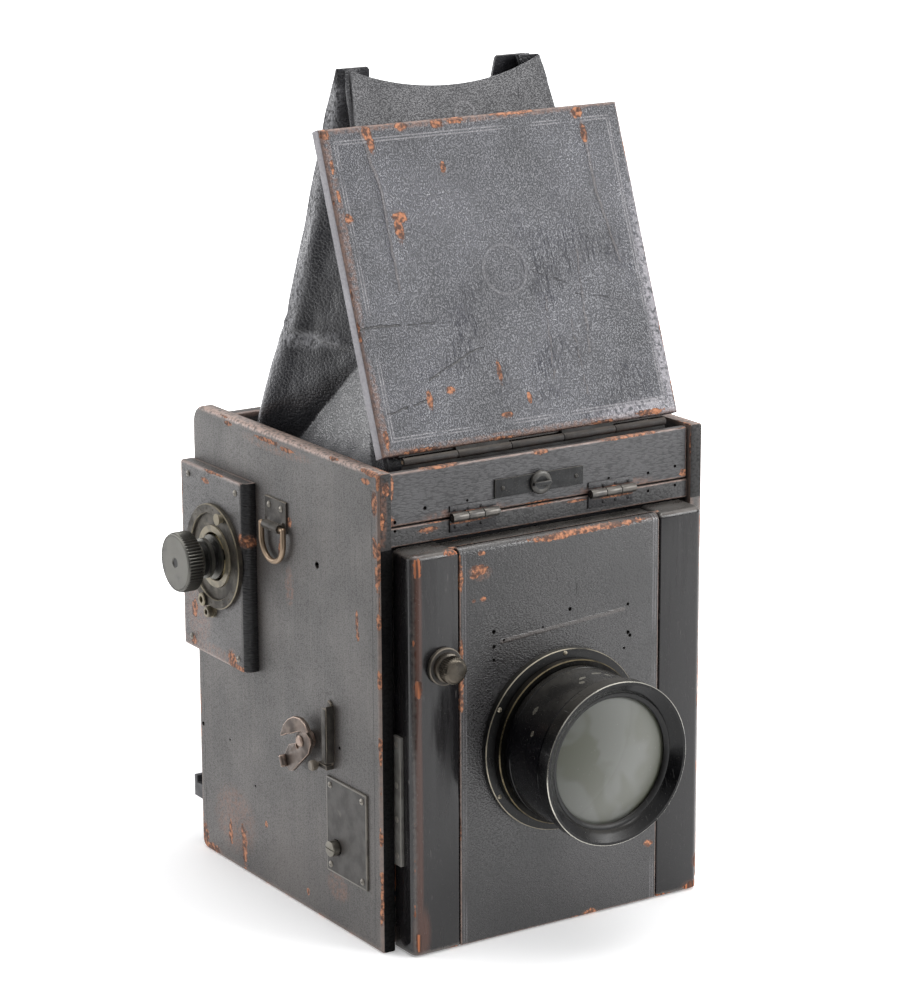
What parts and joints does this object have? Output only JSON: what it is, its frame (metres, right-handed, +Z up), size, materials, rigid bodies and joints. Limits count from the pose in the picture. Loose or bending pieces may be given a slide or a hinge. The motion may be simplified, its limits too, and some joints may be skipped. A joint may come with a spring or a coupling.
{
  "type": "reflex camera",
  "caption": "Large box-shaped reflex camera in worn black leather, its lid and viewing hood raised, with a wide lens on a sliding front.",
  "frame": {"origin": "centre of the mouth of the tripod bush, on the camera's underside", "axes": "+Z up towards the mouth of the raised hood, +Y from the lens towards the plate, +X to the right seen from the front"},
  "size_m": [0.24, 0.2628, 0.424],
  "materials": {
    "covered_board": "satin",
    "hood_leather": "satin",
    "black_wood": "satin",
    "gunmetal": "satin",
    "bronze": "satin",
    "brass": "satin",
    "black_enamel": "gloss",
    "glass": "gloss",
    "bare_wood": "matte",
    "black_cloth": "matte"
  },
  "bodies": {
    "camera_body": {"left_board": "covered_board", "right_board": "covered_board", "base_board": "covered_board", "rear_board": "covered_board", "bulkhead": "black_wood", "front_rail": "covered_board", "lid_rail": "covered_board", "screen_frame": "black_wood", "focusing_screen": "glass", "flap_hinge_lower_leaves": "gunmetal", "flap_hinge_pins": "gunmetal", "lid_hinge_leaf": "gunmetal", "lid_hinge_pin": "gunmetal", "strap_lugs": "gunmetal", "gear_cover": "covered_board", "shutter_dial": "gunmetal", "lever_guard": "gunmetal", "bearing_plate": "gunmetal", "body_screws": "bronze", "bellows": "black_cloth", "tripod_bush": "brass", "back_frame": "covered_board", "holder_rails": "black_wood", "shutter_blind": "black_cloth", "hood_front": "hood_leather", "hood_rear": "hood_leather", "hood_left_gusset": "hood_leather", "hood_right_gusset": "hood_leather"},
    "lens_carriage": {"standard_frame": "black_wood", "left_rack": "gunmetal", "right_rack": "gunmetal", "clamp_seat": "gunmetal", "rack_screws": "bronze"},
    "clamp": {"clamp_knob": "black_enamel"},
    "lens_board": {"lens_panel": "covered_board", "lens_flange": "black_enamel", "lens_barrel": "black_enamel", "front_rim": "black_enamel", "front_lens": "glass", "rear_lens": "glass", "lens_retaining_ring": "black_enamel", "iris": "black_enamel"},
    "aperture_control": {"aperture_ring": "gunmetal"},
    "focusing_drive": {"focusing_shaft": "gunmetal", "focusing_knob": "black_enamel"},
    "front_flap": {"flap": "covered_board", "flap_hinge_upper_leaves": "gunmetal", "swivel_plate": "gunmetal"},
    "flap_lock": {"turn_button": "gunmetal"},
    "top_lid": {"lid": "covered_board", "lid_leaf": "gunmetal"},
    "reflex_mirror": {"mirror_frame": "black_wood", "mirror_glass": "glass"},
    "release": {"release_lever": "bronze"},
    "winder": {"winding_knob": "black_enamel", "winding_gear": "brass"},
    "upper_blind_roller": {"upper_roller": "bare_wood"},
    "lower_blind_roller": {"lower_roller": "bare_wood"},
    "left_ring": {"left_d_ring": "bronze"},
    "right_ring": {"right_d_ring": "bronze"}
  },
  "joints": [
    {"name": "focus_slide", "type": "slide", "parent": "camera_body", "child": "lens_carriage", "axis": [0, -1, 0], "range_m": [-0.004, 0.06], "deforming": ["bellows"]},
    {"name": "focus_turn", "type": "hinge", "parent": "camera_body", "child": "focusing_drive", "pos_m": [0, -0.051, 0.0435], "axis": [1, 0, 0], "range_deg": [-30, 435]},
    {"name": "front_rise", "type": "slide", "parent": "lens_carriage", "child": "lens_board", "axis": [0, 0, 1], "range_m": [0, 0.01]},
    {"name": "clamp_turn", "type": "hinge", "parent": "lens_carriage", "child": "clamp", "pos_m": [-0.069, -0.108, 0.148], "axis": [0, -1, 0], "range_deg": [0, 180]},
    {"name": "aperture_turn", "type": "hinge", "parent": "lens_board", "child": "aperture_control", "pos_m": [0, -0.113, 0.0986], "axis": [0, -1, 0], "range_deg": [0, 80]},
    {"name": "flap_swing", "type": "hinge", "parent": "camera_body", "child": "front_flap", "pos_m": [0, -0.0916, 0.2165], "axis": [1, 0, 0], "range_deg": [0, 75]},
    {"name": "lock_turn", "type": "hinge", "parent": "front_flap", "child": "flap_lock", "pos_m": [-0.002, -0.0907, 0.2269], "axis": [0, -1, 0], "range_deg": [0, 90]},
    {"name": "lid_swing", "type": "hinge", "parent": "camera_body", "child": "top_lid", "pos_m": [0, -0.0843, 0.246], "axis": [-1, 0, 0], "range_deg": [0, 69.6], "deforming": ["hood_front", "hood_rear", "hood_left_gusset", "hood_right_gusset"]},
    {"name": "mirror_swing", "type": "hinge", "parent": "camera_body", "child": "reflex_mirror", "pos_m": [0, 0.0648, 0.1542], "axis": [-1, 0, 0], "range_deg": [0, 50]},
    {"name": "release_swing", "type": "hinge", "parent": "camera_body", "child": "release", "pos_m": [-0.096, -0.0255, 0.0933], "axis": [-1, 0, 0], "range_deg": [0, 25]},
    {"name": "winding_turn", "type": "hinge", "parent": "camera_body", "child": "winder", "pos_m": [-0.11, 0.056, 0.171], "axis": [1, 0, 0], "range_deg": [0, 540]},
    {"name": "upper_roller_turn", "type": "hinge", "parent": "camera_body", "child": "upper_blind_roller", "pos_m": [0, 0.074, 0.19245], "axis": [1, 0, 0], "range_deg": [-725, 0]},
    {"name": "lower_roller_turn", "type": "hinge", "parent": "camera_body", "child": "lower_blind_roller", "pos_m": [0, 0.074, 0.022], "axis": [1, 0, 0], "range_deg": [-725, 0]},
    {"name": "left_ring_swing", "type": "hinge", "parent": "camera_body", "child": "left_ring", "pos_m": [-0.0996, 0.005, 0.1975], "axis": [0, 1, 0], "range_deg": [0, 85]},
    {"name": "right_ring_swing", "type": "hinge", "parent": "camera_body", "child": "right_ring", "pos_m": [0.0996, 0.005, 0.1975], "axis": [0, -1, 0], "range_deg": [0, 85]}
  ],
  "couplings": [
    {"joint": "focus_turn", "follows": "focus_slide", "rad_per_m": 125},
    {"joint": "upper_roller_turn", "follows": "winding_turn", "ratio": -1.3333},
    {"joint": "lower_roller_turn", "follows": "winding_turn", "ratio": -1.3333}
  ]
}
